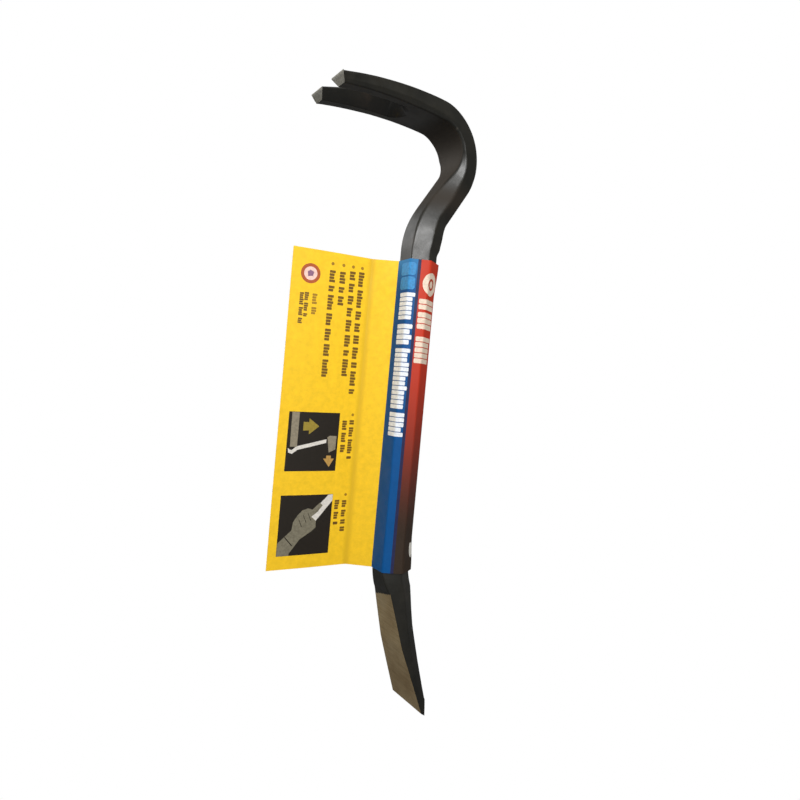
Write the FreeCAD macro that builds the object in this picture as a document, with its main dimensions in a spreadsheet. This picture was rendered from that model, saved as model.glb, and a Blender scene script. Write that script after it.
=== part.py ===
import FreeCAD, Part
import math
import os
import Sketcher

# Gooseneck pry bar: one forging in hexagon steel, wearing a folded card label.
#
# Frame: the origin is on the shank's axis at the middle of the label.
# +Z runs along the shank towards the gooseneck, -X is the side the claw points to,
# and Y is the direction of the claw's and the chisel's width.  Sizes are in millimetres.

doc = FreeCAD.newDocument("pry_bar")
Vector = FreeCAD.Vector

# ---------------------------------------------------------------- driving sizes

SIZES = {
    # hexagon shank
    "across_flats": 20.0,
    "shank_top": 100.0,
    "shank_bottom": 97.0,
    # gooseneck centreline: back bend, straight neck, hook bend, gently curved claw
    "neck_radius": 50.0,
    "neck_turn": 32.9,
    "neck_straight": 26.5,
    "hook_radius": 24.0,
    "hook_turn": 124.2,
    "claw_radius": 300.0,
    "claw_length": 74.7,
    # swollen section just past the shank; lift is how far its middle lies towards the claw side
    "neck_full_at": 7.0,
    "neck_held_to": 12.0,
    "neck_face": 12.2,
    "neck_width": 23.8,
    "neck_back": 12.6,
    "neck_thickness": 21.2,
    "neck_lift": -0.6,
    # throat section beyond the swelling, where the flattening starts
    "throat_at": 29.0,
    "throat_face": 11.2,
    "throat_width": 22.2,
    "throat_back": 11.2,
    "throat_thickness": 19.0,
    # claw section where the flattening ends, where the fork begins, and at the tines' ends;
    # face is the concave side and back the convex one; the side corners run into the face's edges
    # before the flattening ends
    "corner_merged_at": 76.0,
    "claw_root_at": 93.0,
    "claw_root_face": 23.8,
    "claw_root_width": 27.0,
    "claw_root_back": 20.5,
    "claw_root_thickness": 13.7,
    "fork_reach": 50.0,
    "fork_face": 26.0,
    "fork_width": 30.1,
    "fork_back": 27.0,
    "fork_thickness": 10.2,
    "claw_tip_face": 31.4,
    "claw_tip_width": 33.1,
    "claw_tip_back": 36.0,
    "claw_tip_thickness": 5.5,
    # nail slot, widened towards the concave face so that a nail's head can sink in; ground tine ends
    "slot_depth": 45.0,
    "slot_mouth": 10.4,
    "slot_end_radius": 1.3,
    "slot_land": 0.6,
    "slot_flare": 40.0,
    "tine_grind": 1.2,
    # chisel centreline: quick root bend, then a long gentle one
    "chisel_root_radius": 50.0,
    "chisel_root_turn": 12.5,
    "chisel_radius": 690.0,
    "chisel_length": 84.5,
    # chisel section where the root bend ends, at the waist below it, and at the cutting edge;
    # lift is how far the section's middle lies behind the centreline
    "chisel_root_front": 17.4,
    "chisel_root_width": 24.4,
    "chisel_root_back": 14.5,
    "chisel_root_thickness": 17.2,
    "chisel_root_lift": 2.0,
    "chisel_waist_at": 36.0,
    "chisel_waist_front": 21.4,
    "chisel_waist_width": 26.4,
    "chisel_waist_back": 18.4,
    "chisel_waist_thickness": 13.3,
    "chisel_waist_lift": 1.1,
    "chisel_tip_front": 30.8,
    "chisel_tip_width": 31.8,
    "chisel_tip_back": 31.0,
    "chisel_tip_thickness": 7.4,
    "chisel_tip_lift": 0.5,
    # ground front of the chisel: heel flat, then lead flat; a bevel on each side of the edge
    "heel_top_depth": 108.5,
    "heel_top_offset": 4.9,
    "heel_slope": 16.8,
    "heel_length": 37.1,
    "lead_slope": 21.8,
    "edge_lift": 1.3,
    "back_bevel_slope": 20.0,
    "front_bevel_slope": 40.0,
    # card label
    "label_length": 191.0,
    "card_thickness": 0.3,
    "sleeve_clearance": 0.1,
    "inner_panel_length": 16.5,
    "inner_panel_angle": 39.0,
    "outer_panel_length": 49.8,
    "outer_panel_angle": 10.0,
    "crease_gap": 0.3,
    "root_gap": 0.5,
    "tab_length": 14.5,
    "tab_thickness": 0.3,
    "adhesive_thickness": 0.1,
    "adhesive_width": 11.0,
    "adhesive_end_margin": 3.0,
}

sheet = doc.addObject("Spreadsheet::Sheet", "sizes")
for row, (alias, value) in enumerate(SIZES.items(), start=1):
    sheet.set(f"A{row}", alias)
    sheet.set(f"B{row}", str(value))
    sheet.setAlias(f"B{row}", alias)
doc.recompute()


def size(alias):
    """A driving dimension, read back from the sheet."""
    return float(sheet.get(alias))


# ---------------------------------------------------------------- centrelines

HOOK_PATH = [
    # (length along the centreline, degrees turned towards +X over that length)
    (math.radians(size("neck_turn")) * size("neck_radius"), size("neck_turn")),
    (size("neck_straight"), 0.0),
    (math.radians(size("hook_turn")) * size("hook_radius"), -size("hook_turn")),
    (size("claw_length"), -math.degrees(size("claw_length") / size("claw_radius"))),
]
CHISEL_PATH = [
    (math.radians(size("chisel_root_turn")) * size("chisel_root_radius"), -size("chisel_root_turn")),
    (size("chisel_length"), -math.degrees(size("chisel_length") / size("chisel_radius"))),
]


def path_length(path):
    return sum(length for length, turn in path)


def walk(path, start_height, start_heading, distance):
    """Point and heading (degrees from +Z towards +X) at a distance along a centreline."""
    x, z, heading = 0.0, start_height, math.radians(start_heading)
    for length, turn in path:
        step = min(distance, length)
        bend = math.radians(turn) * step / length
        chord = step if bend == 0 else step * math.sin(bend / 2) / (bend / 2)
        x += chord * math.sin(heading + bend / 2)
        z += chord * math.cos(heading + bend / 2)
        heading += bend
        distance -= step
        if distance <= 0:
            break
    return Vector(x, 0, z), heading


def on_hook(distance):
    return walk(HOOK_PATH, size("shank_top"), 0.0, distance)


def on_chisel(distance):
    return walk(CHISEL_PATH, -size("shank_bottom"), 180.0, distance)


def directions(heading):
    """Tangent of a centreline, and the normal on its left when looking along +Y."""
    tangent = Vector(math.sin(heading), 0, math.cos(heading))
    normal = Vector(-math.cos(heading), 0, math.sin(heading))
    return tangent, normal


# ---------------------------------------------------------------- sketch helpers

def origin_plane(body, role):
    for feature in body.Origin.OriginFeatures:
        if feature.Role == role:
            return feature
    raise LookupError(role)


def new_body(name):
    body = doc.addObject("PartDesign::Body", name)
    body.Label = name
    return body


def new_sketch(body, name, placement=None):
    """A sketch on the body's XY plane, moved to the given placement."""
    sketch = body.newObject("Sketcher::SketchObject", name)
    sketch.AttachmentSupport = [(origin_plane(body, "XY_Plane"), "")]
    sketch.MapMode = "FlatFace"
    if placement is not None:
        sketch.AttachmentOffset = placement
    return sketch


def plane_at(centre, right, up):
    """Placement of a sketch plane from its centre and its own X and Y directions."""
    rotation = FreeCAD.Rotation(right, up, right.cross(up), "ZXY")
    return FreeCAD.Placement(centre, rotation)


def set_size(sketch, constraint, name, expression):
    """Add a named dimension and bind it to the sheet."""
    index = sketch.addConstraint(constraint)
    sketch.renameConstraint(index, name)
    sketch.setExpression(f"Constraints.{name}", expression)


def closed_outline(sketch, points):
    """Lines through the points, joined end to end; returns the first line's index."""
    first = sketch.GeometryCount
    count = len(points)
    for index in range(count):
        start, end = points[index], points[(index + 1) % count]
        sketch.addGeometry(Part.LineSegment(Vector(*start, 0), Vector(*end, 0)), False)
    for index in range(count):
        following = (index + 1) % count
        sketch.addConstraint(Sketcher.Constraint("Coincident", first + index, 2, first + following, 1))
    return first


def add_hexagon(sketch, section, prefix=""):
    """Six-sided outline, symmetric about the sketch's Y axis, its middle lifted above the X axis."""
    top, corner, bottom, thickness, lift = (section[key][0] for key in SECTION_SIZES)
    high, low = lift + thickness / 2, lift - thickness / 2
    middle = low + thickness * section["corner_share"]
    first = closed_outline(sketch, [
        (-top / 2, high), (top / 2, high), (corner / 2, middle),
        (bottom / 2, low), (-bottom / 2, low), (-corner / 2, middle),
    ])
    # each pair of mirrored points is the start of the line on its left and of the one on its right
    for key, left, right in (("top", 0, 1), ("corner", 5, 2), ("bottom", 4, 3)):
        value, expression = section[key]
        sketch.addConstraint(Sketcher.Constraint("Symmetric", first + left, 1, first + right, 1, -2))
        span = Sketcher.Constraint("DistanceX", first + left, 1, first + right, 1, value)
        set_size(sketch, span, f"{prefix}{key}_width", expression)
    expression = section["thickness"][1]
    full = Sketcher.Constraint("DistanceY", first + 3, 1, first, 1, thickness)
    set_size(sketch, full, f"{prefix}thickness", expression)
    depth = Sketcher.Constraint("DistanceY", first + 3, 1, -1, 1, -low)
    set_size(sketch, depth, f"{prefix}bottom_depth", f"({expression}) / 2 - ({section['lift'][1]})")
    rise = Sketcher.Constraint("DistanceY", first + 3, 1, first + 2, 1, middle - low)
    set_size(sketch, rise, f"{prefix}corner_rise", f"({expression}) * {section['corner_share']:.6f}")


# ---------------------------------------------------------------- forged sections

# A section's sizes are pairs: the value now, and the expression that binds it to the sheet.
SECTION_SIZES = ("top", "corner", "bottom", "thickness", "lift")
NO_LIFT = (0.0, "0")


def cell(alias):
    return size(alias), f"sizes.{alias}"


def mixed(first, second, share):
    value = first[0] * (1 - share) + second[0] * share
    return value, f"({first[1]}) * {1 - share:.6f} + ({second[1]}) * {share:.6f}"


def regular_hexagon(across):
    """Hexagon section with its top and bottom sides flat."""
    side = (across[0] / math.sqrt(3), f"({across[1]}) / sqrt(3)")
    corners = (2 * side[0], f"2 * {side[1]}")
    return {
        "top": side,
        "corner": corners,
        "bottom": side,
        "thickness": across,
        "lift": NO_LIFT,
        "corner_share": 0.5,
    }


def flattened(name, top, bottom, corner_share, lift=NO_LIFT):
    """Section of a forged end, from the cells that start with its name."""
    return {
        "top": cell(f"{name}_{top}"),
        "corner": cell(f"{name}_width"),
        "bottom": cell(f"{name}_{bottom}"),
        "thickness": cell(f"{name}_thickness"),
        "lift": lift,
        "corner_share": corner_share,
    }


STOCK = regular_hexagon(cell("across_flats"))
# on the claw the sketch's top side is the concave face
NECK = flattened("neck", "face", "back", 0.5, cell("neck_lift"))
THROAT = flattened("throat", "face", "back", 0.5)
CLAW_ROOT = flattened("claw_root", "face", "back", 0.92)
FORK = flattened("fork", "face", "back", 0.72)
CLAW_TIP = flattened("claw_tip", "face", "back", 0.69)
# on the chisel the sketch's top side is the back and its bottom side is the front
CHISEL_ROOT = flattened("chisel_root", "back", "front", 0.5, cell("chisel_root_lift"))
CHISEL_WAIST = flattened("chisel_waist", "back", "front", 0.5, cell("chisel_waist_lift"))
CHISEL_TIP = flattened("chisel_tip", "back", "front", 0.5, cell("chisel_tip_lift"))


def blended(first, second, share):
    """The section part of the way from one to the other."""
    section = {key: mixed(first[key], second[key], share) for key in SECTION_SIZES}
    section["corner_share"] = first["corner_share"] * (1 - share) + second["corner_share"] * share
    return section


def add_section(body, name, centre, heading, section):
    """One closed section across the centreline."""
    tangent, normal = directions(heading)
    sketch = new_sketch(body, name, plane_at(centre, normal.cross(tangent), normal))
    add_hexagon(sketch, section)
    return sketch


def add_loft(body, name, sections):
    loft = body.newObject("PartDesign::AdditiveLoft", name)
    loft.Profile = sections[0]
    loft.Sections = sections[1:]
    loft.Ruled = False
    for sketch in sections:
        sketch.Visibility = False
    return loft


def eased(share):
    """Smooth 0 to 1 step."""
    share = min(max(share, 0.0), 1.0)
    return share * share * (3 - 2 * share)


# ---------------------------------------------------------------- forged bar

HOOK_STATIONS = 22
CHISEL_STATIONS = 10


def hook_section(distance):
    """Swollen neck, drawn in to the throat, then a claw that widens and thins to its tip."""
    neck, throat, root = size("neck_held_to"), size("throat_at"), size("claw_root_at")
    reach = size("fork_reach")
    fork = path_length(HOOK_PATH) - reach
    if distance <= neck:
        return blended(STOCK, NECK, eased(min(distance / size("neck_full_at"), 1.0)))
    if distance <= throat:
        return blended(NECK, THROAT, eased((distance - neck) / (throat - neck)))
    if distance <= root:
        section = blended(THROAT, CLAW_ROOT, eased((distance - throat) / (root - throat)))
        merged = min((distance - throat) / (size("corner_merged_at") - throat), 1.0) ** 2
        section["corner_share"] = blended(THROAT, CLAW_ROOT, merged)["corner_share"]
        return section
    if distance <= fork:
        return blended(CLAW_ROOT, FORK, (distance - root) / (fork - root))
    return blended(FORK, CLAW_TIP, (distance - fork) / reach)


def chisel_section(distance):
    """Hexagon squashed over the root bend, drawn in to a waist, then a straight-sided wedge."""
    root, waist, tip = CHISEL_PATH[0][0], size("chisel_waist_at"), path_length(CHISEL_PATH)
    if distance <= root:
        return blended(STOCK, CHISEL_ROOT, distance / root)
    if distance <= waist:
        return blended(CHISEL_ROOT, CHISEL_WAIST, (distance - root) / (waist - root))
    return blended(CHISEL_WAIST, CHISEL_TIP, (distance - waist) / (tip - waist))


def add_shank(body):
    """Straight hexagon stock between the two forged ends, flats facing -X and +X."""
    bottom = Vector(0, 0, -size("shank_bottom"))
    sketch = add_section(body, "shank_section", bottom, 0.0, STOCK)
    pad = body.newObject("PartDesign::Pad", "shank")
    pad.Profile = sketch
    pad.setExpression("Length", "sizes.shank_top + sizes.shank_bottom")
    sketch.Visibility = False


def add_hook(body):
    """Gooseneck and claw, lofted along the centreline."""
    full = size("neck_full_at")
    length = path_length(HOOK_PATH) - full
    distances = [0.0, full / 2] + [full + length * step / HOOK_STATIONS for step in range(HOOK_STATIONS + 1)]
    sections = []
    for station, distance in enumerate(distances):
        centre, heading = on_hook(distance)
        section = hook_section(distance)
        sections.append(add_section(body, f"hook_section_{station}", centre, heading, section))
    add_loft(body, "gooseneck_and_claw", sections)


def add_chisel(body):
    """Offset chisel, lofted downwards from the shank."""
    root = CHISEL_PATH[0][0]
    blade = path_length(CHISEL_PATH) - root
    distances = [0.0, root / 2]
    distances += [root + blade * step / CHISEL_STATIONS for step in range(CHISEL_STATIONS + 1)]
    sections = []
    for station, distance in enumerate(distances):
        centre, heading = on_chisel(distance)
        section = chisel_section(distance)
        sections.append(add_section(body, f"chisel_section_{station}", centre, heading, section))
    add_loft(body, "offset_chisel", sections)


# how far the cutting outlines run past the metal they cut
SLOT_OVERSHOOT = 5.0
GRIND_OVERSHOOT = 10.0
BEVEL_REACH = 15.0
CHISEL_CLEARANCE = 30.0
LEAST_CUT = 1.0


def check_removed(name, body, before):
    """Stop if a cut took (almost) nothing from the body's volume."""
    if not body.Shape.Volume < before - LEAST_CUT:
        raise RuntimeError(f"{name} removed nothing")


def add_pocket(body, name, sketch, reach):
    """Cut both ways from the sketch, over a total length given as an expression."""
    before = body.Shape.Volume
    pocket = body.newObject("PartDesign::Pocket", name)
    pocket.Profile = sketch
    pocket.SideType = "Symmetric"
    pocket.setExpression("Length", reach)
    sketch.Visibility = False
    doc.recompute()
    check_removed(name, body, before)


def add_slot_outline(body, name, placement, widened=(0.0, "0")):
    """V with a rounded end, open past the tine ends, widened all round by a value and its expression."""
    radius = size("slot_end_radius") + widened[0]
    half_mouth = size("slot_mouth") / 2 + widened[0]
    middle = size("slot_depth") - size("slot_end_radius")
    lean = math.atan2(half_mouth - radius, middle)
    shoulder = (radius * math.cos(lean), middle + radius * math.sin(lean))
    mouth = half_mouth + SLOT_OVERSHOOT * math.tan(lean)
    left, right = Vector(-mouth, -SLOT_OVERSHOOT, 0), Vector(mouth, -SLOT_OVERSHOOT, 0)
    left_shoulder, right_shoulder = Vector(-shoulder[0], shoulder[1], 0), Vector(shoulder[0], shoulder[1], 0)
    sketch = new_sketch(body, name, placement)
    sketch.addGeometry([
        Part.LineSegment(left, right),
        Part.LineSegment(right, right_shoulder),
        Part.Arc(right_shoulder, Vector(0, middle + radius, 0), left_shoulder),
        Part.LineSegment(left_shoulder, left),
    ], False)
    for line, following in ((0, 1), (3, 0)):
        sketch.addConstraint(Sketcher.Constraint("Coincident", line, 2, following, 1))
    sketch.addConstraint(Sketcher.Constraint("Tangent", 1, 2, 2, 1))
    sketch.addConstraint(Sketcher.Constraint("Tangent", 2, 2, 3, 1))
    sketch.addConstraint(Sketcher.Constraint("PointOnObject", 2, 3, -2))
    sketch.addConstraint(Sketcher.Constraint("Symmetric", 0, 1, 0, 2, -2))
    set_size(sketch, Sketcher.Constraint("Radius", 2, radius), "end_radius",
             f"sizes.slot_end_radius + {widened[1]}")
    set_size(sketch, Sketcher.Constraint("DistanceY", -1, 1, 2, 3, middle), "end_depth",
             "sizes.slot_depth - sizes.slot_end_radius")
    set_size(sketch, Sketcher.Constraint("DistanceX", 0, 1, 0, 2, 2 * mouth), "cut_mouth",
             f"sizes.slot_mouth + 2 * {widened[1]} + {2 * (mouth - half_mouth):.6f}")
    sketch.addConstraint(Sketcher.Constraint("DistanceY", 0, 1, -1, 1, SLOT_OVERSHOOT))
    return sketch


def on_claw_back(distance):
    """Point on the claw's convex side, and the normal pointing in from there."""
    centre, heading = on_hook(distance)
    normal = directions(heading)[1]
    return centre - normal * (hook_section(distance)["thickness"][0] / 2), normal


def add_nail_slot(body):
    """Slot cut through the claw from its tip, then widened towards the concave face."""
    tip = path_length(HOOK_PATH)
    back_tip, inward = on_claw_back(tip)
    chord = on_claw_back(tip - size("slot_depth"))[0].sub(back_tip).normalize()
    across = Vector(0, 1, 0)
    outline = add_slot_outline(body, "nail_slot_outline", plane_at(back_tip, across, chord))
    add_pocket(body, "nail_slot", outline, "3 * sizes.claw_root_thickness")

    reach = size("claw_root_thickness")
    widened = (reach * math.tan(math.radians(size("slot_flare"))),
               "sizes.claw_root_thickness * tan(sizes.slot_flare)")
    bottom = back_tip + inward * size("slot_land")
    start = add_slot_outline(body, "slot_flare_start", plane_at(bottom, across, chord))
    end = add_slot_outline(body, "slot_flare_end", plane_at(bottom + inward * reach, across, chord), widened)
    before = body.Shape.Volume
    flare = body.newObject("PartDesign::SubtractiveLoft", "nail_slot_flare")
    flare.Profile = start
    flare.Sections = [end]
    flare.Ruled = True
    for sketch in (start, end):
        sketch.Visibility = False
    doc.recompute()
    check_removed("nail_slot_flare", body, before)


def add_side_cut(body, name, corners):
    """Cut with a polygon drawn in the X-Z plane, given as (x, z) corners."""
    sketch = new_sketch(body, f"{name}_outline", plane_at(Vector(0, 0, 0), Vector(1, 0, 0), Vector(0, 0, 1)))
    first = closed_outline(sketch, [(corner.x, corner.z) for corner in corners])
    for index in range(len(corners)):
        sketch.addConstraint(Sketcher.Constraint("Block", first + index))
    add_pocket(body, name, sketch, "2 * sizes.chisel_tip_width")


def add_tine_grind(body):
    """Ends of the tines ground back on the concave side, leaving a sharp convex edge."""
    centre, heading = on_hook(path_length(HOOK_PATH))
    tangent, normal = directions(heading)
    half = size("claw_tip_thickness") / 2
    edge = centre - normal * half
    heel = centre + normal * half - tangent * size("tine_grind")
    slope = heel.sub(edge).normalize() * GRIND_OVERSHOOT
    ahead = tangent * GRIND_OVERSHOOT
    add_side_cut(body, "tine_grind", [edge, edge + slope, edge + slope + ahead, edge + ahead])


def heel_line():
    """The ground heel flat of the chisel: its top, its bottom and its direction downwards."""
    slope = math.radians(size("heel_slope"))
    direction = Vector(math.sin(slope), 0, -math.cos(slope))
    top = Vector(-size("heel_top_offset"), 0, -size("heel_top_depth"))
    return top, top + direction * size("heel_length"), direction


def add_chisel_grind(body):
    """Two flats ground on the front: the heel, and the lead running to the cutting edge."""
    top, bottom, direction = heel_line()
    slope = math.radians(size("lead_slope"))
    reach = size("chisel_length")
    end = bottom + Vector(math.sin(slope), 0, -math.cos(slope)) * reach
    outside = Vector(-CHISEL_CLEARANCE, 0, 0)
    add_side_cut(body, "chisel_grind", [top, bottom, end, end + outside, top + outside])


def add_edge_bevels(body):
    """Back and front bevels that meet in the cutting edge."""
    centre, heading = on_chisel(path_length(CHISEL_PATH))
    tangent, normal = directions(heading)
    edge = centre + normal * size("edge_lift")
    for name, side in (("back_bevel", 1), ("front_bevel", -1)):
        slope = math.radians(size(f"{name}_slope"))
        along = tangent * -math.cos(slope) + normal * (side * math.sin(slope))
        outward = normal * (side * math.cos(slope)) + tangent * math.sin(slope)
        start, end = edge + along * BEVEL_REACH, edge - along * BEVEL_REACH
        add_side_cut(body, name, [start, end, end + outward * BEVEL_REACH, start + outward * BEVEL_REACH])


def make_forged_bar():
    body = new_body("forged_bar")
    add_shank(body)
    doc.recompute()
    add_hook(body)
    doc.recompute()
    add_chisel(body)
    doc.recompute()
    add_nail_slot(body)
    add_tine_grind(body)
    add_chisel_grind(body)
    add_edge_bevels(body)
    return body


# ---------------------------------------------------------------- card label

def sleeve_corner():
    """Outer corner of the card sleeve where the flap leaves it, on the far side of the -X flat."""
    across = size("across_flats") + 2 * (size("sleeve_clearance") + size("card_thickness"))
    return Vector(-across / 2, across / (2 * math.sqrt(3)), 0)


def panel_direction(angle_alias):
    angle = math.radians(size(angle_alias))
    return Vector(-math.cos(angle), math.sin(angle), 0)


def crease_point():
    return sleeve_corner() + panel_direction("inner_panel_angle") * size("inner_panel_length")


def make_sleeve():
    """Hexagon tube of card around the shank."""
    body = new_body("card_sleeve")
    gap, card = 2 * size("sleeve_clearance"), 2 * size("card_thickness")
    inside = (size("across_flats") + gap, "sizes.across_flats + 2 * sizes.sleeve_clearance")
    outside = (inside[0] + card, f"{inside[1]} + 2 * sizes.card_thickness")
    # turned so that the section's top side is the flat facing -X
    sketch = new_sketch(body, "sleeve_section", plane_at(Vector(0, 0, 0), Vector(0, 1, 0), Vector(-1, 0, 0)))
    add_hexagon(sketch, regular_hexagon(outside), "outer_")
    add_hexagon(sketch, regular_hexagon(inside), "inner_")
    pad = body.newObject("PartDesign::Pad", "sleeve")
    pad.Profile = sketch
    pad.SideType = "Symmetric"
    pad.setExpression("Length", "sizes.label_length")
    sketch.Visibility = False
    return body


def make_sheet(name, start, direction_alias, length, thickness, height, offset):
    """Flat sheet standing along Z: starts at a point and runs along a panel direction.

    offset is how far the sheet's front face is behind the start point.
    """
    box = doc.addObject("Part::Box", name)
    box.Label = name
    box.setExpression("Length", length)
    box.setExpression("Width", thickness)
    box.setExpression("Height", height)
    doc.recompute()
    up = Vector(0, 0, 1)
    direction = panel_direction(direction_alias)
    behind = direction.cross(up)
    # the box's own X runs along the panel and its Y behind it, so its Z points down from its top end
    top = start + behind * offset + up * (box.Height.Value / 2)
    box.Placement = FreeCAD.Placement(top, FreeCAD.Rotation(direction, behind, -up, "XYZ"))
    return box


def make_inner_panel():
    """Strip of the flap next to the shank, printed side forward."""
    start = sleeve_corner() + panel_direction("inner_panel_angle") * size("root_gap")
    return make_sheet("card_inner_panel", start, "inner_panel_angle",
                      "sizes.inner_panel_length - sizes.root_gap - sizes.crease_gap",
                      "sizes.card_thickness", "sizes.label_length", 0.0)


def make_adhesive():
    """Glue line between the inner panel and the tab behind it."""
    along = (size("tab_length") - size("adhesive_width")) / 2 + 2 * size("root_gap")
    start = sleeve_corner() + panel_direction("inner_panel_angle") * along
    return make_sheet("adhesive_strip", start, "inner_panel_angle", "sizes.adhesive_width",
                      "sizes.adhesive_thickness", "sizes.label_length - 2 * sizes.adhesive_end_margin",
                      size("card_thickness"))


def make_glue_tab():
    """Other end of the card, returned round the shank and glued behind the inner panel."""
    start = sleeve_corner() + panel_direction("inner_panel_angle") * (2 * size("root_gap"))
    return make_sheet("card_glue_tab", start, "inner_panel_angle", "sizes.tab_length",
                      "sizes.tab_thickness", "sizes.label_length",
                      size("card_thickness") + size("adhesive_thickness"))


def make_outer_panel():
    """Wide printed leaf beyond the crease."""
    start = crease_point() + panel_direction("outer_panel_angle") * size("crease_gap")
    return make_sheet("card_outer_panel", start, "outer_panel_angle",
                      "sizes.outer_panel_length - sizes.crease_gap",
                      "sizes.card_thickness", "sizes.label_length", 0.0)


# ---------------------------------------------------------------- build, check, write

parts = [
    make_forged_bar(),
    make_sleeve(),
    make_inner_panel(),
    make_adhesive(),
    make_glue_tab(),
    make_outer_panel(),
]
doc.recompute()

for item in doc.Objects:
    if "Invalid" in item.State or "Error" in item.State:
        raise RuntimeError(f"{item.Name} failed: {item.State}")

os.makedirs("parts", exist_ok=True)
for part in parts:
    shape = part.Shape
    if shape.isNull() or not shape.isValid() or len(shape.Solids) != 1:
        raise RuntimeError(f"{part.Label} is not one valid solid")
    shape.exportStep(f"parts/{part.Label}.step")
    box = shape.BoundBox
    print(f"{part.Label:18s} volume {shape.Volume:9.1f}  x {box.XMin:7.2f} {box.XMax:7.2f}"
          f"  y {box.YMin:7.2f} {box.YMax:7.2f}  z {box.ZMin:7.2f} {box.ZMax:7.2f}")
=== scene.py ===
import math
import random
from collections import namedtuple

import bmesh
import bpy
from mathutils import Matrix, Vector, noise


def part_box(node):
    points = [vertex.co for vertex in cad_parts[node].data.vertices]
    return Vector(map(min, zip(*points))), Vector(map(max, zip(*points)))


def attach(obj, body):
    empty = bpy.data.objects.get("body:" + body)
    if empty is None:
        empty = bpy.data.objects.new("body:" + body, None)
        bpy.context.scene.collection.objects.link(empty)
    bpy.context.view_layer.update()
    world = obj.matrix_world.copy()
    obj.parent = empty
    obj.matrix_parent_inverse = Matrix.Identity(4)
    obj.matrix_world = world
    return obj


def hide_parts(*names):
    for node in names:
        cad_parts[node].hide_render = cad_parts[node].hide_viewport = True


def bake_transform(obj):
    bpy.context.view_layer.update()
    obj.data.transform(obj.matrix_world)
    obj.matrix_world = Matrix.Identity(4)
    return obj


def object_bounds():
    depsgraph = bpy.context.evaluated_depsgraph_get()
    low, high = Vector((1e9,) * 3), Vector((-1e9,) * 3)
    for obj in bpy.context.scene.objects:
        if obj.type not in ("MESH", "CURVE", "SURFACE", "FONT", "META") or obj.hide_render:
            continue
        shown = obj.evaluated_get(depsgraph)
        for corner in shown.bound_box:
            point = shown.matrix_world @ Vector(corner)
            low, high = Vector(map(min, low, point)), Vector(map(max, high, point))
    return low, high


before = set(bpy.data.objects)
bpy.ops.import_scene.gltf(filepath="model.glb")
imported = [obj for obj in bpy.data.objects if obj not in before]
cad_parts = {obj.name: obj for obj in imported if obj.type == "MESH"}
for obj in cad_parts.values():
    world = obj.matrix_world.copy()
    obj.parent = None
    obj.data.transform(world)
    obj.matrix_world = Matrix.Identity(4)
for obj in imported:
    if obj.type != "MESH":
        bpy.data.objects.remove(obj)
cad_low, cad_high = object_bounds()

# Looks of the gooseneck pry bar and its folded card label.
# Lengths in this script are millimetres until place_vertex() and metres() turn them into metres.
# Frame: origin on the shank's axis at the middle of the label, +Z towards the gooseneck,
# -X the side the claw points to, Y across the claw's and the chisel's width.

MM = 0.001

# -------- sizes

sleeve_low, sleeve_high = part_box("card_sleeve")
LABEL_HALF = sleeve_high.z / MM
SLEEVE_ACROSS = (sleeve_high.x - sleeve_low.x) / MM

ACROSS_FLATS = 20.0
SHANK_TOP = 100.0
SHANK_BOTTOM = -97.0

NECK_RADIUS, NECK_TURN = 50.0, math.radians(32.9)
NECK_STRAIGHT = 26.5
HOOK_RADIUS, HOOK_TURN = 24.0, math.radians(124.2)
CLAW_RADIUS, CLAW_LENGTH = 300.0, 74.7
NECK_FULL_AT = 7.0
NECK_HELD_TO, THROAT_AT = 12.0, 29.0
CORNER_MERGED_AT, CLAW_ROOT_AT, FORK_REACH = 76.0, 93.0, 50.0

CHISEL_ROOT_RADIUS, CHISEL_ROOT_TURN = 50.0, math.radians(12.5)
CHISEL_RADIUS, CHISEL_LENGTH = 690.0, 84.5
CHISEL_WAIST_AT = 36.0

# sections across the bar: widths at the claw side (or front), the side corner and the back,
# then the thickness, how far the middle lies behind the centreline, and the corner's height share
SIDE = ACROSS_FLATS / math.sqrt(3)
STOCK = (SIDE, 2 * SIDE, SIDE, ACROSS_FLATS, 0.0, 0.5)
NECK = (12.2, 23.8, 12.6, 21.2, 0.6, 0.5)
THROAT = (11.2, 22.2, 11.2, 19.0, 0.0, 0.5)
CLAW_ROOT = (23.8, 27.0, 20.5, 13.7, 0.0, 0.08)
FORK = (26.0, 30.1, 27.0, 10.2, 0.0, 0.28)
CLAW_TIP = (31.4, 33.1, 36.0, 5.5, 0.0, 0.31)
CHISEL_ROOT = (17.4, 24.4, 14.5, 17.2, 2.0, 0.5)
CHISEL_WAIST = (21.4, 26.4, 18.4, 13.3, 1.1, 0.5)
CHISEL_TIP = (30.8, 31.8, 31.0, 7.4, 0.5, 0.5)

SLOT_DEPTH, SLOT_MOUTH, SLOT_END_RADIUS = 45.0, 10.4, 1.3
SLOT_LAND, SLOT_FLARE = 0.6, math.tan(math.radians(40.0))
TINE_GRIND = 1.2
HEEL_TOP = Vector((-4.9, -108.5))
HEEL_SLOPE, LEAD_SLOPE = math.radians(16.8), math.radians(21.8)
HEEL_LENGTH = 37.1
EDGE_LIFT = 1.3
BACK_BEVEL, FRONT_BEVEL = math.radians(20.0), math.radians(40.0)

FORGED_ROUNDING, HOOK_ROUNDING = 1.4, 2.6
GROUND_ROUNDING, SLOT_ROUNDING = 0.22, 0.45
THINNEST = 0.05

CARD = 0.3
INNER_PANEL, INNER_ANGLE = 16.5, math.radians(39.0)
OUTER_PANEL, OUTER_ANGLE = 49.8, math.radians(10.0)
TAB_LENGTH, TAB_SPARE, TAB_GAP = 14.5, 0.9, 0.15


# -------- mesh helpers

def metres(point):
    return Vector(point) * MM


SHARP = math.radians(40.0)


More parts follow.
